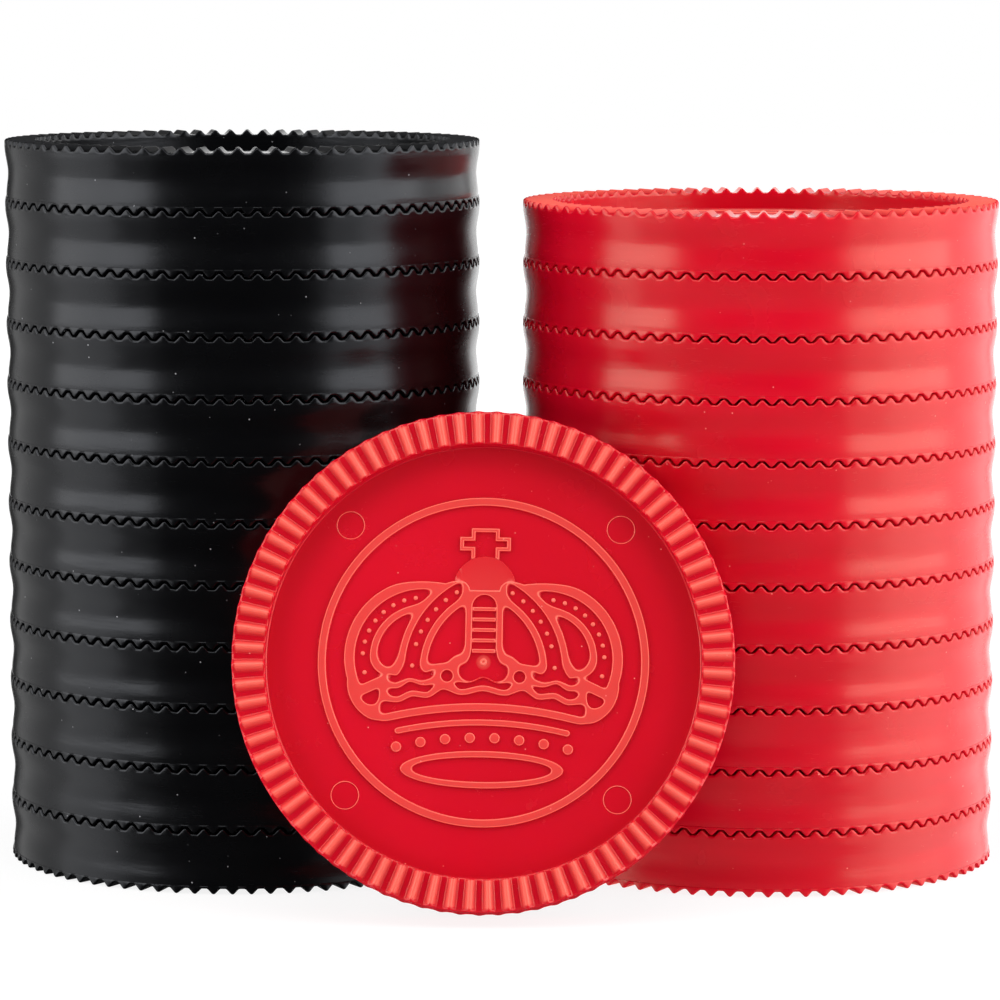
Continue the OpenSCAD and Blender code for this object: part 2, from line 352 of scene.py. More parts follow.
# Bands about one far centre below the crown: the lower and upper edge of each, and their ends
BAND_PLACE_SHARE = -1.575
BAND_SHARES, LOOSE_SHARES = (1.397, 1.427), (1.345, 1.369)
HOLLOW_END_SHARE, LOOSE_END_SHARE = 0.368, 0.302
BEADS_SHARE, BEAD_STEP_SHARE, BEAD_COUNT = 1.302, 0.0885, 8
HOLE_PLACE_SHARE, HOLE_SHARE = (0.13, -0.0525), 0.02
END_HOLE_PLACE_SHARE, END_HOLE_SHARE = (0.398, -0.12), 0.0395
END_HOLE_DROP_SHARE, END_HOLE_SIDE_SHARE = 0.038, 0.369
BASE_SHARE, BASE_OUTER_SHARES, BASE_INNER_SHARES = -0.387, (0.292, 0.068), (0.248, 0.043)
# Rows of studs in the arches: centre, radius, first angle and step in degrees, and count
STUD_ROWS = (
    (INNER_PLACE_SHARE, 0.331, 58, 8.4, 7),
    (OUTER_PLACE_SHARE, 0.216, 82, 11.3, 9),
)
LAST_STUD_GAP = 1.62
PIN_MARK_COUNT = 4
RING_SIDES, PIN_MARK_SIDES, PIP_SIDES, STUD_SIDES = 240, 48, 20, 12
# Heights of the pip and the studs, as shares of the relief
PIP_RISE_SHARE, STUD_RISE_SHARE = 0.6, 0.8
# A pin mark's raised edge, from outside inwards: reach in half lines, height in depths and finish. The
# finish also paints the raised line lighter as a highlight.
PIN_MARK_STEPS = ((2, 0, 0), (1, 0, 0), (0, 1, 1), (-1, 0, 0), (-1.3, -1, 0), (-2, -1, 0))
# A stud's dome, and the gate pip with a rough haze round it and a hollow in it: reach, height and finish.
# The finish also paints a highlight, lighter on the domes and as a painted glow in the haze.
STUD_STEPS = ((1, 0, 0), (0.95, 0.4, 0.6), (0.75, 0.8, 1), (0.35, 1, 1))
PIP_STEPS = ((2.2, 0, 0), (1.3, 0, 0.4), (1, 0, 0.6), (0.9, 0.8, 1), (0.6, 1, 1), (0.3, 0.5, 0.6))

SOFT_CORNER_SHARE, TIGHT_CORNER_SHARE = 0.03, 0.016
MAP_STEP_SHARE = 0.0034
MAP_X_SHARES, MAP_Y_SHARES = (-0.52, 0.52), (-0.47, 0.5)
# Side of the relief, from its foot to its flat top: places across it, heights and finish. The finish also
# paints a highlight, lightest on the rounded shoulders and fainter on the top.
RELIEF_STEPS = (
    (0.15, 0, 0),
    (0.09, 0.2, 0),
    (0.03, 0.42, 0),
    (-0.06, 0.66, 0.1),
    (-0.12, 0.78, 0.18),
    (-0.22, 0.9, 1),
    (-0.34, 0.97, 1),
    (-0.5, 1, 0.32),
)
# The orb's surface lies this far across the side of the relief
ORB_STEP = 0.09
# Distances at which points count as one, and guards against division by zero
SMALL, SMALLEST = 1e-6, 1e-9
LINE_TOLERANCE_SHARE = 0.00018
SHARP_ANGLE = 50


def soft_max(first, second, corner=SOFT_CORNER_SHARE):
    """The larger of two distances, with the corner between them rounded."""
    closeness = np.maximum(corner - np.abs(first - second), 0) / corner
    return np.maximum(first, second) + closeness**2 * corner / 4


def overlap(*shapes):
    """Where all shapes overlap, with round corners."""
    joined = shapes[0]
    for shape in shapes[1:]:
        joined = soft_max(joined, shape)
    return joined


def blend(first, second, corner=SOFT_CORNER_SHARE):
    """Two shapes grown together, with a fillet between them."""
    return -soft_max(-first, -second, corner)


def disc(x, y, place, radius):
    """A disc about a place."""
    return np.hypot(x - place[0], y - place[1]) - radius


def box(x, y, half_width, low, high):
    """A box about the middle line."""
    return np.maximum(x - half_width, np.abs(y - (low + high) / 2) - (high - low) / 2)


def oval(x, y, half_axes):
    """An oval about the middle."""
    reach = np.hypot(x / half_axes[0], y / half_axes[1])
    steepness = np.hypot(x / half_axes[0] ** 2, y / half_axes[1] ** 2)
    return reach * (reach - 1) / np.maximum(steepness, SMALL)


def over_slope(x, y, place, slope):
    """What lies above a sloping line through a place."""
    return (place[1] + slope * (x - place[0]) - y) / math.hypot(1, slope)


def over_wave(x, y, turning_points):
    """How far points lie above a line that eases from one turning point to the next."""
    height = np.full_like(x, turning_points[-1][1])
    slope = np.zeros_like(x)
    for (x0, y0), (x1, y1) in zip(turning_points, turning_points[1:]):
        between = (x >= x0) & (x < x1)
        turn = math.pi * (x[between] - x0) / (x1 - x0)
        height[between] = y0 + (y1 - y0) * (1 - np.cos(turn)) / 2
        slope[between] = (y1 - y0) / (x1 - x0) * math.pi / 2 * np.sin(turn)
    return (y - height) / np.hypot(1, slope)


def column_slot(x, y, above_waves):
    """The column's slot, which spreads to a bell over the band."""
    round_top = np.maximum(y - SLOT_TOP_SHARE, 0)
    slot = overlap(np.hypot(x, round_top) - SLOT_SHARE, above_waves)
    bell = overlap(above_waves, -above_waves - BELL_SHARE, x - BELL_END_SHARE)
    return blend(slot, bell, BELL_CORNER_SHARE)


def arch_openings(x, y, above_waves, slot):
    """Channels, petals and teardrops of the arches."""
    outer = disc(x, y, OUTER_PLACE_SHARE, 0)
    inner = disc(x, y, INNER_PLACE_SHARE, 0)
    beyond_inner = INNER_OUTLINE_SHARE - inner
    above_foot = over_slope(x, y, OUTER_FOOT_SHARES, OUTER_FOOT_SLOPE)
    petal = overlap(outer - PETAL_SHARE, beyond_inner)
    petal = soft_max(petal, PETAL_FOOT_SHARE - y, PETAL_CORNER_SHARE)
    outer_channel = overlap(outer - OUTER_CHANNEL_SHARE, PETAL_WALL_SHARE - petal, beyond_inner)
    outer_channel = soft_max(outer_channel, above_foot, TIGHT_CORNER_SHARE)
    inner_channel = overlap(
        inner - INNER_CHANNEL_SHARES[1],
        INNER_CHANNEL_SHARES[0] - inner,
        INNER_TOP_SHARE - x,
        above_waves,
    )
    pocket = overlap(
        above_waves, -above_waves - POCKET_SHARE, POCKET_END_SHARES[0] - x, x - POCKET_END_SHARES[1]
    )
    drop = overlap(
        inner - DROP_SHARE, COLUMN_WALL_SHARE - slot, over_slope(x, y, DROP_FOOT_SHARES, DROP_FOOT_SLOPE)
    )
    return np.minimum.reduce([outer_channel, petal, blend(inner_channel, pocket), drop])


def band_openings(x, y, above_waves):
    """The islands, holes and hollow of the band."""
    line = WAVE_LINE_SHARE
    below_upper = line - above_waves
    lower = over_wave(x, y, LOWER_WAVE_SHARES)
    above_lower = line / 2 - lower
    hole = disc(x, y, HOLE_PLACE_SHARE, HOLE_SHARE)
    below_foot = -over_slope(x, y, OUTER_FOOT_SHARES, OUTER_FOOT_SLOPE) + END_HOLE_DROP_SHARE
    end_disc = disc(x, y, END_HOLE_PLACE_SHARE, END_HOLE_SHARE)
    end_hole = soft_max(overlap(end_disc, END_HOLE_SIDE_SHARE - x), below_foot, TIGHT_CORNER_SHARE)
    between = np.maximum(below_upper, above_lower)
    middle_island = overlap(between, x - MIDDLE_END_SHARE)
    side_island = overlap(between, SIDE_END_SHARES[0] - x, x - SIDE_END_SHARES[1])
    over_band = BAND_SHARES[1] - disc(x, y, (0, BAND_PLACE_SHARE), 0)
    hollow = overlap(lower + line / 2, over_band, x - HOLLOW_END_SHARE)
    return np.minimum.reduce([hole, end_hole, middle_island, side_island, hollow])


def crown_outline(x, y, orb):
    """The filled outline of the arches and the band, without the part of the orb that shows."""
    arches = np.minimum(
        disc(x, y, OUTER_PLACE_SHARE, OUTER_OUTLINE_SHARE),
        disc(x, y, INNER_PLACE_SHARE, INNER_OUTLINE_SHARE),
    )
    arches = overlap(arches, y - ARCH_TOP_SHARE)
    corner = disc(x, y, CORNER_PLACE_SHARE, CORNER_SHARE)
    over_band = BAND_SHARES[0] - disc(x, y, (0, BAND_PLACE_SHARE), 0)
    outline = overlap(np.minimum(arches, corner), over_band)
    beside_arch = ARCH_END_SHARE - disc(x, y, ARCH_END_PLACE_SHARE, 0)
    shown_orb = np.maximum.reduce([orb, COLUMN_TOP_SHARE - y, beside_arch])
    return np.maximum(outline, -shown_orb)


def crown_lines(x, y, orb, line, bead):
    """What is set on or round the arches: bars, cross, loose band, beads and base."""
    bars = np.full_like(x, 1)
    for k in range(BAR_COUNT):
        middle = BAR_TOP_SHARE - k * BAR_STEP_SHARE
        bars = np.minimum(bars, box(x, y, SLOT_SHARE, middle - line / 2, middle + line / 2))
    cross = np.minimum(box(x, y, *UPRIGHT_SHARES), box(x, y, *ARM_SHARES))
    cross = np.maximum.reduce([cross, -cross - line, -orb])
    loose_middle, loose_half = sum(LOOSE_SHARES) / 2, (LOOSE_SHARES[1] - LOOSE_SHARES[0]) / 2
    end_y = BAND_PLACE_SHARE + math.sqrt(loose_middle**2 - LOOSE_END_SHARE**2)
    loose = np.where(
        x < LOOSE_END_SHARE,
        np.abs(disc(x, y, (0, BAND_PLACE_SHARE), loose_middle)) - loose_half,
        disc(x, y, (LOOSE_END_SHARE, end_y), loose_half),
    )
    beads = np.full_like(x, 1)
    for k in range(BEAD_COUNT // 2):
        turn = (k + 0.5) * BEAD_STEP_SHARE / BEADS_SHARE
        place = (BEADS_SHARE * math.sin(turn), BAND_PLACE_SHARE + BEADS_SHARE * math.cos(turn))
        beads = np.minimum(beads, disc(x, y, place, bead / 2))
    base = np.maximum(
        oval(x, y - BASE_SHARE, BASE_OUTER_SHARES), -oval(x, y - BASE_SHARE, BASE_INNER_SHARES)
    )
    return np.minimum.reduce([bars, cross, loose, beads, base])


def crown_map(crown):
    """(x, y, distance to the raised crown) over a grid, all in crown widths."""
    x, y = np.meshgrid(
        np.arange(MAP_X_SHARES[0], MAP_X_SHARES[1], MAP_STEP_SHARE),
        np.arange(MAP_Y_SHARES[0], MAP_Y_SHARES[1], MAP_STEP_SHARE),
    )
    right = np.abs(x)
    above_waves = WAVE_LINE_SHARE / 2 - over_wave(right, y, UPPER_WAVE_SHARES)
    slot = column_slot(right, y, above_waves)
    openings = np.minimum.reduce(
        [slot, arch_openings(right, y, above_waves, slot), band_openings(right, y, above_waves)]
    )
    orb = disc(right, y, ORB_PLACE_SHARE, ORB_SHARE)
    low_orb = np.maximum(orb, -ORB_STEP * crown.relief / crown.width)
    crown_body = np.maximum(np.minimum(crown_outline(right, y, orb), low_orb), -openings)
    lines = crown_lines(right, y, orb, crown.line_width / crown.width, crown.bead_diameter / crown.width)
    return x, y, np.minimum(crown_body, lines)


def closed_lines(edges):
    """The closed lines that edges form, as arrays of x and y."""
    neighbours = {}
    for edge in edges:
        for here, there in (edge.verts, reversed(edge.verts)):
            neighbours.setdefault(here, []).append(there)
    lines = []
    while neighbours:
        first = next(iter(neighbours))
        line, before, here = [first], first, neighbours.pop(first)[0]
        while here is not first:
            line.append(here)
            one, other = neighbours.pop(here)
            before, here = here, (other if one is before else one)
        lines.append(np.array([v.co.xy for v in line]))
    return lines


def thinned(line, tolerance):
    """A closed line without the points that lie within a tolerance of the others."""
    around = np.vstack([line, line[:1]])
    kept, anchor = [0], 0
    for k in range(2, len(around)):
        chord = around[k] - around[anchor]
        span = np.hypot(*chord)
        offsets = around[anchor + 1 : k] - around[anchor]
        off_line = np.abs(offsets[:, 0] * chord[1] - offsets[:, 1] * chord[0]).max() / max(span, SMALLEST)
        if off_line > tolerance:
            anchor = k - 1
            kept.append(anchor)
    return line[kept]


def contours(x, y, distance, levels):
    """For each level, the closed lines along which a map of distances has that level."""
    corners = np.stack(
        [distance[:-1, :-1], distance[:-1, 1:], distance[1:, 1:], distance[1:, :-1]], axis=-1
    )
    crossed = (corners.min(-1) < max(levels)) & (corners.max(-1) > min(levels))
    bm = bmesh.new()
    verts = {}

    def vert(row, column):
        if (row, column) not in verts:
            place = (x[row, column], y[row, column], distance[row, column])
            verts[row, column] = bm.verts.new(place)
        return verts[row, column]

    for row, column in zip(*np.nonzero(crossed)):
        a, b = vert(row, column), vert(row, column + 1)
        c, d = vert(row + 1, column + 1), vert(row + 1, column)
        bm.faces.new((a, b, c))
        bm.faces.new((a, c, d))
    found = []
    for level in levels:
        cut = bmesh.ops.bisect_plane(
            bm,
            geom=bm.verts[:] + bm.edges[:] + bm.faces[:],
            dist=SMALLEST,
            plane_co=(0, 0, level),
            plane_no=(0, 0, 1),
        )
        found.append(closed_lines([e for e in cut["geom_cut"] if isinstance(e, bmesh.types.BMEdge)]))
    bm.free()
    return found


def circle(place, radius, count):
    """Points round a place."""
    turn = np.arange(count) * math.tau / count
    return np.column_stack([place[0] + radius * np.cos(turn), place[1] + radius * np.sin(turn)])


def bump(place, radius, height, steps, count):
    """Lines round a small bump, as (line, height, matte finish and painted highlight) from its foot inwards.
    """
    return [(circle(place, radius * reach, count), height * rise, matte_and_painted_highlight) for reach, rise, matte_and_painted_highlight in steps]


def crown_face_lines(crown):
    """The closed lines of crown and ring, each with its height above the web and its finish, which also sets
    how far a painted highlight lightens it.
    """
    lines = []
    relief = crown.relief
    levels = [across * relief / crown.width for across, _, _ in RELIEF_STEPS]
    x, y, distance = crown_map(crown)
    for (across, rise, matte_and_painted_highlight), found in zip(RELIEF_STEPS, contours(x, y, distance, levels)):
        for line in found:
            lines.append((thinned(line, LINE_TOLERANCE_SHARE) * crown.width, rise * relief, matte_and_painted_highlight))
        outer_r = crown.ring_diameter / 2 + across * relief
        inner_r = crown.ring_diameter / 2 - crown.ring_width - across * relief
        lines += [(circle((0, 0), r, RING_SIDES), rise * relief, matte_and_painted_highlight) for r in (outer_r, inner_r)]
    return lines


def stud_lines(crown):
    """Lines of the studs in the arches and of the gate pip in the middle."""
    lines = bump((0, 0), crown.pip_diameter / 2, crown.relief * PIP_RISE_SHARE, PIP_STEPS, PIP_SIDES)
    stud_rise = crown.relief * STUD_RISE_SHARE
    for place, radius, first, step, count in STUD_ROWS:
        turns = [first - step * k for k in range(count - 1)]
        turns.append(turns[-1] - step * LAST_STUD_GAP)
        for turn in np.radians(turns):
            stud_x = (place[0] + radius * math.cos(turn)) * crown.width
            stud_y = (place[1] + radius * math.sin(turn)) * crown.width
            for side in (stud_x, -stud_x):
                lines += bump((side, stud_y), crown.stud_diameter / 2, stud_rise, STUD_STEPS, STUD_SIDES)
    return lines


def pin_mark_lines(crown, place_r):
    """Lines of the sunk pin marks, each with a fine raised line round it."""
    lines = []
    edge_r = crown.pin_mark_diameter / 2
    fine, depth = crown.witness_width / 2, crown.pin_mark_depth
    for k in range(PIN_MARK_COUNT):
        turn = (k + 0.5) * math.tau / PIN_MARK_COUNT
        place = (place_r * math.cos(turn), place_r * math.sin(turn))
        for out, rise, matte_and_painted_highlight in PIN_MARK_STEPS:
            lines.append((circle(place, edge_r + out * fine, PIN_MARK_SIDES), rise * depth, matte_and_painted_highlight))
    return lines


def fill_face(edge, lines, web_z):
    """(points, faces) that fill the face within an edge line, through lines of given heights.
    The first points are the edge's own."""
    stretches = [(edge[:, :2], 0, PLAIN)] + lines
    spots, links, tails = [], [], []
    for line, height, matte_and_painted_highlight in stretches:
        start, count = len(spots), len(line)
        spots += [Vector(p) for p in line * MILLIMETRES]
        links += [(start + i, start + (i + 1) % count) for i in range(count)]
        tails += [(web_z + height, matte_and_painted_highlight)] * count
    found, _, faces, origins, _, _ = delaunay_2d_cdt(spots, links, [], 0, SMALL)
    crossings = [tuple(p / MILLIMETRES) for p, o in zip(found, origins) if not o]
    if crossings:
        raise RuntimeError(f"lines of the crowned face cross at {crossings}")
    points = [(*(p / MILLIMETRES), *tails[o[0]]) for p, o in zip(found, origins)]
    return np.array(points), faces


def checker_mesh(scene):
    """One checker with its crowned face up, built once and shared by all pieces."""
    name = "checker_moulding"
    if name in bpy.data.meshes:
        return bpy.data.meshes[name]
    body, crown = scene.checker_body, scene.checker_crown
    under = [r * (1, 1, -1, 1) for r in face_rings(body, True, body.flare)]
    rings = under[::-1] + waist_rings(body) + face_rings(body, False, 0)
    points, faces = skin(rings)
    edge = rings[-1]
    mark_r = (crown.ring_diameter + body.diameter - 2 * body.rim_width) / 4
    lines = crown_face_lines(crown) + stud_lines(crown) + pin_mark_lines(crown, mark_r)
    face_points, face_faces = fill_face(edge, lines, body.web_thickness / 2)
    shift = len(points) - len(edge)
    faces += [[shift + i for i in face] for face in face_faces]
    faces.append(list(range(len(edge)))[::-1])
    points = np.vstack([points, face_points[len(edge) :]])

    mesh = bpy.data.meshes.new(name + "_rough")
    mesh.from_pydata(points[:, :3].tolist(), [], faces)
    # Each point's matte finish, which also sets how far a painted highlight lightens its colour
    matte_and_painted_highlight = mesh.attributes.new("matte_and_painted_highlight", "FLOAT", "POINT")
    matte_and_painted_highlight.data.foreach_set("value", points[:, 3].astype(np.float32))
    bm = bmesh.new()
    bm.from_mesh(mesh)
    bmesh.ops.recalc_face_normals(bm, faces=bm.faces[:])
    bm.to_mesh(mesh)
    bm.free()
    mesh.polygons.foreach_set("use_smooth", [True] * len(mesh.polygons))
    mesh.set_sharp_from_angle(angle=math.radians(SHARP_ANGLE))
    return with_even_normals(mesh, name)


def with_even_normals(mesh, name):
    """A copy of a mesh whose flat faces shade flat up to their softened edges."""
    holder = bpy.data.objects.new(name + "_holder", mesh)
    bpy.context.scene.collection.objects.link(holder)
    weighted = holder.modifiers.new("Even normals", "WEIGHTED_NORMAL")
    weighted.keep_sharp = True
    graph = bpy.context.evaluated_depsgraph_get()
    shaded = bpy.data.meshes.new_from_object(holder.evaluated_get(graph), depsgraph=graph)
    shaded.name = name
    bpy.data.objects.remove(holder)
    bpy.data.meshes.remove(mesh)
    return shaded


# Plastics: scales of their patterns per metre, ranges of noise that show, and depths in metres

FLOW_SCALE, STREAK_SCALE, PATCH_SCALE, SPECK_SCALE = 30, 420, 60, 500
GLOSS_SCALE, RIPPLE_SCALE, GRAIN_SCALE = 110, 150, 2600
FLOW_RANGE, STREAK_RANGE, PATCH_RANGE = (0.3, 0.7), (0.55, 0.85), (0.4, 0.9)
PICK_RANGE, SPECK_RANGE, GLOSS_RANGE = (0.6, 0.9), (0.08, 0.03), (0.2, 0.8)
STREAK_ROUGHNESS = 0.65
# Some patterns are squeezed along the axis, so that they run round the wall
SQUEEZE = (1, 1, 7)
RUBBED_STRENGTH, ROUGHNESS_SPREAD = 0.015, 0.04
RIPPLE_STRENGTH, RIPPLE_DEPTH = 0.2, 0.00015
GRAIN_STRENGTH, GRAIN_DEPTH = 0.15, 0.00003
# How far light of each colour runs under the surface, in shares of one reach
GLOW_SHARES, GLOW_REACH = (1, 0.15, 0.1), 0.002


class NodeTree:
    """Short ways to add and join the nodes of a material or a world."""

    def __init__(self, owner):
        owner.use_nodes = True
        self.nodes, self.links = owner.node_tree.nodes, owner.node_tree.links
        self.nodes.clear()

    def add(self, kind, values=None, **settings):
        """A node with settings, whose inputs take numbers or other nodes' outputs."""
        node = self.nodes.new(kind)
        for key, value in settings.items():
            setattr(node, key, value)
        for key, value in (values or {}).items():
            if isinstance(value, bpy.types.NodeSocket):
                self.links.new(value, node.inputs[key])
            else:
                node.inputs[key].default_value = value
        return node

    def noise(self, place, scale, detail, **values):
        """A noise pattern's factor."""
        inputs = {"Vector": place, "Scale": scale, "Detail": detail, **values}
        return self.add("ShaderNodeTexNoise", inputs).outputs["Fac"]

    def ramp(self, value, low, high, to_low=0.0, to_high=1.0):
        """A value mapped from one range to another, and held there."""
        inputs = {0: value, 1: low, 2: high, 3: to_low, 4: to_high}
        return self.add("ShaderNodeMapRange", inputs, interpolation_type="SMOOTHSTEP").outputs[0]

    def math(self, operation, first, second):
        """One operation on two numbers."""
        return self.add("ShaderNodeMath", {0: first, 1: second}, operation=operation).outputs[0]

    def mix(self, factor, first, second):
        """Two colours mixed."""
        inputs = {0: factor, 6: first, 7: second}
        return self.add("ShaderNodeMix", inputs, data_type="RGBA").outputs[2]


def opaque(rgb):
    """A colour with full alpha."""
    return (*rgb, 1.0)


def plastic(colour_name, finish):
    """Moulded plastic: faint flow marks, rubbed streaks, dust, and matte ridges and relief, whose lighter
    colour is a painted highlight.
    """
    name = colour_name + "_moulded_plastic"
    if name in bpy.data.materials:
        return bpy.data.materials[name]

    def tone(part):
        return opaque(getattr(finish, f"{colour_name}_{part}"))

    material = bpy.data.materials.new(name)
    tree = NodeTree(material)
    own = tree.add("ShaderNodeTexCoord").outputs["Object"]
    chance = tree.add("ShaderNodeObjectInfo").outputs["Random"]
    place = tree.add("ShaderNodeVectorMath", {0: own, 1: chance}, operation="ADD").outputs[0]
    along = tree.add("ShaderNodeMapping", {"Vector": place, "Scale": SQUEEZE}).outputs[0]
    # How matte each point is; the same share paints its colour lighter as a highlight
    matte_and_painted_highlight_share = tree.add("ShaderNodeAttribute", attribute_name="matte_and_painted_highlight").outputs["Fac"]

    flow = tree.ramp(tree.noise(along, FLOW_SCALE, 2), *FLOW_RANGE)
    fibrous = tree.noise(along, STREAK_SCALE, 4, Roughness=STREAK_ROUGHNESS)
    streaks = tree.ramp(fibrous, *STREAK_RANGE)
    patches = tree.ramp(tree.noise(place, PATCH_SCALE, 2), *PATCH_RANGE)
    rubbed = tree.math("MULTIPLY", streaks, patches)
    specks = tree.add("ShaderNodeTexVoronoi", {"Vector": place, "Scale": SPECK_SCALE}).outputs
    lot = tree.add("ShaderNodeSeparateColor", {0: specks["Color"]}).outputs[0]
    picked = tree.ramp(lot, *PICK_RANGE)
    dust = tree.math("MULTIPLY", tree.ramp(specks["Distance"], *SPECK_RANGE), picked)
    wear = tree.math("MAXIMUM", tree.math("MULTIPLY", rubbed, RUBBED_STRENGTH), dust)

    body_colour = tree.mix(flow, tone("deep"), opaque(getattr(finish, colour_name)))
    # Painted highlight: matte places are mixed toward a much lighter colour
    colour_with_painted_highlight = tree.mix(matte_and_painted_highlight_share, body_colour, tone("matte_and_painted_highlight"))
    surface_colour = tree.mix(wear, colour_with_painted_highlight, tone("dust"))
    shiny, dull = finish.roughness - ROUGHNESS_SPREAD, finish.roughness + ROUGHNESS_SPREAD
    satin = tree.ramp(tree.noise(place, GLOSS_SCALE, 3), *GLOSS_RANGE, shiny, dull)
    dulled = tree.math("MULTIPLY", tree.math("ADD", matte_and_painted_highlight_share, rubbed), finish.matte_roughness)

    ripple = tree.noise(along, RIPPLE_SCALE, 2)
    grain = tree.noise(place, GRAIN_SCALE, 2)
    soft_bump = tree.add(
        "ShaderNodeBump", {"Strength": RIPPLE_STRENGTH, "Distance": RIPPLE_DEPTH, "Height": ripple}
    ).outputs[0]
    fine_bump = tree.add(
        "ShaderNodeBump",
        {"Strength": GRAIN_STRENGTH, "Distance": GRAIN_DEPTH, "Height": grain, "Normal": soft_bump},
    ).outputs[0]
    shader = tree.add(
        "ShaderNodeBsdfPrincipled",
        {
            "Base Color": surface_colour,
            "Roughness": tree.math("ADD", satin, dulled),
            "Specular IOR Level": getattr(finish, colour_name + "_shine"),
            "Specular Tint": tone("sheen"),
            "Subsurface Weight": getattr(finish, colour_name + "_glow"),
            "Subsurface Radius": GLOW_SHARES,
            "Subsurface Scale": GLOW_REACH,
            "Normal": fine_bump,
        },
    )
    tree.add("ShaderNodeOutputMaterial", {"Surface": shader.outputs[0]})
    return material


def red_plastic(finish):
    """The plastic of the red pieces."""
    return plastic("red", finish)


def black_plastic(finish):
    """The plastic of the black pieces."""
    return plastic("black", finish)


# Pieces


def coloured_mesh(scene, name, material):
    """The checker's mesh in one plastic, shared by all pieces of that colour."""
    if name not in bpy.data.meshes:
        mesh = checker_mesh(scene).copy()
        mesh.name = name
        mesh.materials.clear()
        mesh.materials.append(material)
    return bpy.data.meshes[name]


def place_piece(node, mesh, turned):
    """A checker in the place of a node, turned as a matrix says."""
    low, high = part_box(node)
    scene = bpy.context.scene
    piece = bpy.data.objects.new("moulded_" + node, mesh)
    scene.collection.objects.link(piece)
    lift = turned @ Vector((0, 0, (scene.checker_body.thickness - PIECE_SIZE.z) / 2))
    piece.matrix_world = Matrix.Translation((low + high) / 2 + lift) @ turned.to_4x4()
    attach(piece, node)
    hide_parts(node)
    return piece


class CHECKERS_OT_black_stack(bpy.types.Operator):
    """Make the stack of black checkers"""

    bl_idname = "checkers.black_stack"
    bl_label = "Black Stack"
    bl_options = {"REGISTER", "UNDO"}

    def execute(self, context):
        mesh = coloured_mesh(context.scene, "black_checker", black_plastic(context.scene.checker_plastic))
        for node in BLACK_NODES:
            place_piece(node, mesh, Matrix.Identity(3))
        return {"FINISHED"}


class CHECKERS_OT_red_stack(bpy.types.Operator):
    """Make the stack of red checkers"""

    bl_idname = "checkers.red_stack"
    bl_label = "Red Stack"
    bl_options = {"REGISTER", "UNDO"}

    def execute(self, context):
        mesh = coloured_mesh(context.scene, "red_checker", red_plastic(context.scene.checker_plastic))
        for node in RED_NODES:
            place_piece(node, mesh, Matrix.Identity(3))
        return {"FINISHED"}


class CHECKERS_OT_front_piece(bpy.types.Operator):
    """Make the red checker that leans on both stacks, its crowned face along its joint's axis"""

    bl_idname = "checkers.front_piece"
    bl_label = "Front Piece"
    bl_options = {"REGISTER", "UNDO"}

    def execute(self, context):
        mesh = coloured_mesh(context.scene, "red_checker", red_plastic(context.scene.checker_plastic))
        side = Vector((1, 0, 0))
        lean = Matrix((side, FRONT_NORMAL.cross(side), FRONT_NORMAL)).transposed()
        own_turn = Matrix.Rotation(context.scene.checker_body.front_turn, 3, "Z")
        place_piece(FRONT_NODE, mesh, lean @ own_turn)
        return {"FINISHED"}


# Stage

WHITE = (1, 1, 1, 1)
# Paper: tones and scale of its fibres, its finish, and its glow from near to far
PAPER_TONES, FIBRE_SCALE = ((0.14, 0.14, 0.14, 1), (0.16, 0.16, 0.16, 1)), 900
PAPER_ROUGHNESS, PAPER_SHINE = 0.9, 0.1
PAPER_REACH, PAPER_GLOW = (0.2, 0.9), (0.86, 1.0)
FLOOR_SIDES = 96
SENSOR_WIDTH = 36
# Panels on each side, brighter above than below: middle and width along y, middle and height
# along z, and shares of the left and the right side's brightness
SIDE_PANEL_X = 0.7
SIDE_PANELS = (
    ("front_upper", -0.55, 0.4, 0.47, 0.86, 1.1, 1.0),
    ("front_lower", -0.55, 0.4, -0.205, 0.49, 0.1, 0.3),
    ("upper", -0.125, 0.45, 0.47, 0.86, 1.0, 1.0),
    ("lower", -0.125, 0.45, -0.205, 0.49, 0.45, 0.55),
    ("rear", 0.55, 0.9, 0.2, 1.3, 0.17, 0.38),
)
# Panels about the middle: the place of each, what it aims at, and its width and height
MIDDLE_PANELS = {
    "top": ((0, -0.25, 1.0), (0, 0, 0.06), (1.0, 0.8)),
    "front": ((-0.02, -1.0, 0.44), (0, -0.036, 0.04), (0.22, 0.16)),
    "back": ((0.21, 1.6, 0.05), (0.21, 0, 0.05), (1.34, 1.1)),
}


def floor_paper(name):
    """Pale paper that takes soft shadows near the pieces and fades to plain white far off."""
    material = bpy.data.materials.new(name)
    tree = NodeTree(material)
    place = tree.add("ShaderNodeTexCoord").outputs["Object"]
    reach = tree.add("ShaderNodeVectorMath", {0: place}, operation="LENGTH").outputs["Value"]
    fibre = tree.noise(place, FIBRE_SCALE, 3)
    paper = tree.mix(fibre, *PAPER_TONES)
    shader = tree.add(
        "ShaderNodeBsdfPrincipled",
        {
            "Base Color": paper,
            "Roughness": PAPER_ROUGHNESS,
            "Specular IOR Level": PAPER_SHINE,
            "Emission Color": WHITE,
            "Emission Strength": tree.ramp(reach, *PAPER_REACH, *PAPER_GLOW),
        },
    )
    tree.add("ShaderNodeOutputMaterial", {"Surface": shader.outputs[0]})
    return material


def add_panel(name, place, aim, size, brightness):
    """A soft panel of light that shows in reflections and not to the camera."""
    light = bpy.data.lights.new(name, "AREA")
    light.shape = "RECTANGLE"
    light.size, light.size_y = size
    light.energy = brightness * math.pi * size[0] * size[1]
    panel = bpy.data.objects.new(name, light)
    bpy.context.scene.collection.objects.link(panel)
    panel.location = place
    panel.rotation_euler = (Vector(aim) - Vector(place)).to_track_quat("-Z", "Y").to_euler()
    panel.visible_camera = False
    return panel


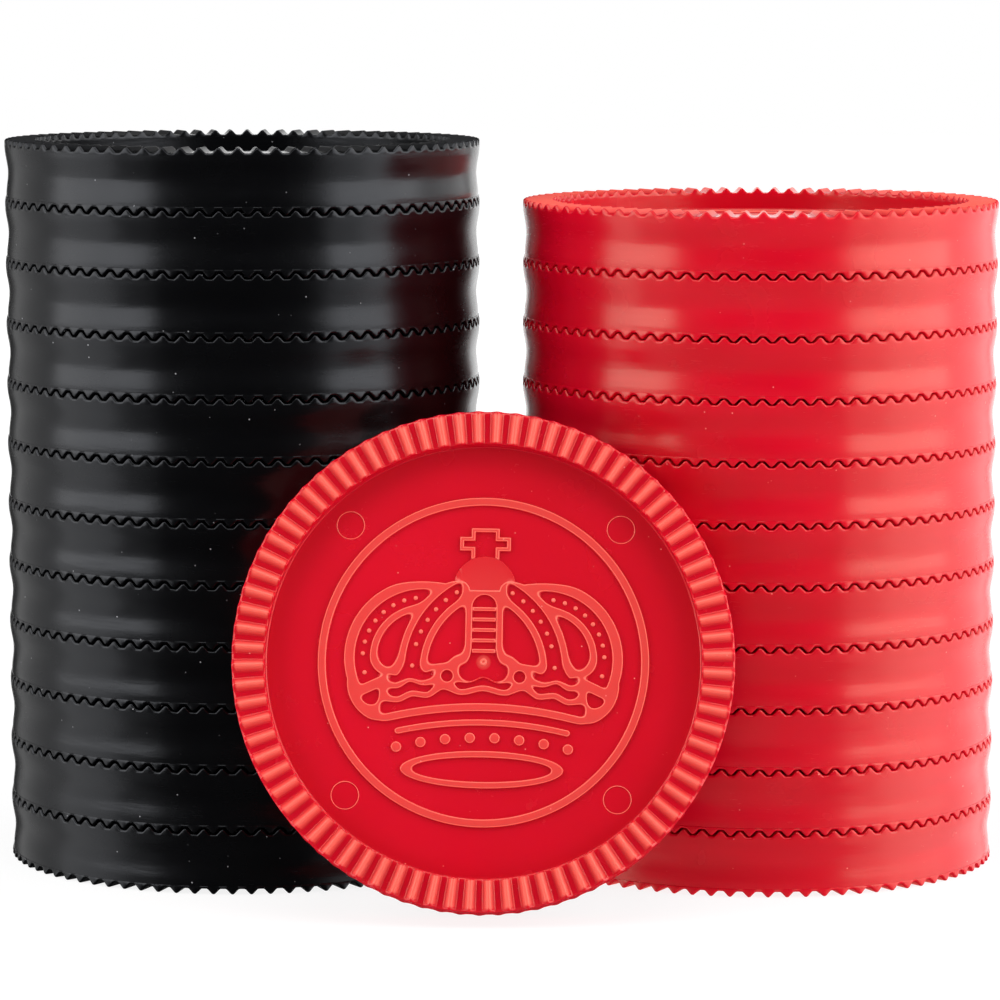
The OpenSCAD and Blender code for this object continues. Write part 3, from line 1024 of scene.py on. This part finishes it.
class CHECKERS_OT_stage(bpy.types.Operator):
    """Make the floor, the panels of light, the surround and the camera"""

    bl_idname = "checkers.stage"
    bl_label = "Stage"
    bl_options = {"REGISTER", "UNDO"}

    def execute(self, context):
        scene, studio = context.scene, context.scene.checker_studio
        self.add_floor(scene, studio)
        self.add_lights(studio)
        self.add_surround(scene, studio)
        self.add_camera(scene, studio)
        scene.view_settings.view_transform = "Standard"
        return {"FINISHED"}

    def add_floor(self, scene, studio):
        """A round sheet of paper."""
        mesh = bpy.data.meshes.new("floor")
        bm = bmesh.new()
        bmesh.ops.create_circle(bm, cap_ends=True, radius=studio.floor_radius, segments=FLOOR_SIDES)
        bm.to_mesh(mesh)
        bm.free()
        mesh.materials.append(floor_paper("floor_paper"))
        floor = bpy.data.objects.new("floor", mesh)
        scene.collection.objects.link(floor)
        floor.visible_glossy = False
        floor.visible_shadow = False

    def add_lights(self, studio):
        """Panels on both sides, overhead, in front and behind."""
        for part, middle_y, width, middle_z, height, left_share, right_share in SIDE_PANELS:
            aim = (0, middle_y, middle_z)
            for name, x, brightness in (
                ("left", -SIDE_PANEL_X, left_share * studio.left_light),
                ("right", SIDE_PANEL_X, right_share * studio.right_light),
            ):
                add_panel(f"{name}_{part}_panel", (x, middle_y, middle_z), aim, (width, height), brightness)
        for name, (place, aim, size) in MIDDLE_PANELS.items():
            add_panel(name + "_panel", place, aim, size, getattr(studio, name + "_light"))

    def add_surround(self, scene, studio):
        """A dim room that the camera sees as white."""
        world = bpy.data.worlds.new("surround")
        scene.world = world
        tree = NodeTree(world)
        seen = tree.add("ShaderNodeLightPath").outputs["Is Camera Ray"]
        dim = tree.add("ShaderNodeBackground", {"Color": WHITE, "Strength": studio.surround})
        white = tree.add("ShaderNodeBackground", {"Color": WHITE, "Strength": 1.0})
        mixed = tree.add("ShaderNodeMixShader", {0: seen, 1: dim.outputs[0], 2: white.outputs[0]})
        tree.add("ShaderNodeOutputWorld", {"Surface": mixed.outputs[0]})

    def add_camera(self, scene, studio):
        """The camera of the photo."""
        data = bpy.data.cameras.new("camera")
        data.lens = studio.lens
        data.sensor_width = SENSOR_WIDTH
        camera = bpy.data.objects.new("camera", data)
        scene.collection.objects.link(camera)
        camera.location = studio.camera_place
        camera.rotation_euler = (math.pi / 2 - studio.camera_pitch, studio.camera_roll, studio.camera_turn)
        scene.camera = camera


class CHECKERS_PT_panel(bpy.types.Panel):
    """The checkers' steps and sizes"""

    bl_idname = "CHECKERS_PT_panel"
    bl_label = "Interlocking Checkers"
    bl_space_type = "VIEW_3D"
    bl_region_type = "UI"
    bl_category = "Checkers"

    def draw(self, context):
        for operator in OPERATORS:
            self.layout.operator(operator.bl_idname)
        for name, group in SETTINGS.items():
            section = self.layout.box()
            section.label(text=group.__doc__)
            for key in group.__annotations__:
                section.prop(getattr(context.scene, name), key)


SETTINGS = {
    "checker_body": CheckerBody,
    "checker_crown": CheckerCrown,
    "checker_plastic": CheckerPlastic,
    "checker_studio": CheckerStudio,
}
OPERATORS = (
    CHECKERS_OT_black_stack,
    CHECKERS_OT_red_stack,
    CHECKERS_OT_front_piece,
    CHECKERS_OT_stage,
)
CLASSES = (*SETTINGS.values(), *OPERATORS, CHECKERS_PT_panel)


def register():
    for cls in CLASSES:
        bpy.utils.register_class(cls)
    for name, cls in SETTINGS.items():
        setattr(bpy.types.Scene, name, PointerProperty(type=cls))


def unregister():
    for name in SETTINGS:
        delattr(bpy.types.Scene, name)
    for cls in reversed(CLASSES):
        bpy.utils.unregister_class(cls)


def main():
    register()
    bpy.ops.checkers.black_stack()
    bpy.ops.checkers.red_stack()
    bpy.ops.checkers.front_piece()
    bpy.ops.checkers.stage()


if __name__ == "__main__":
    main()
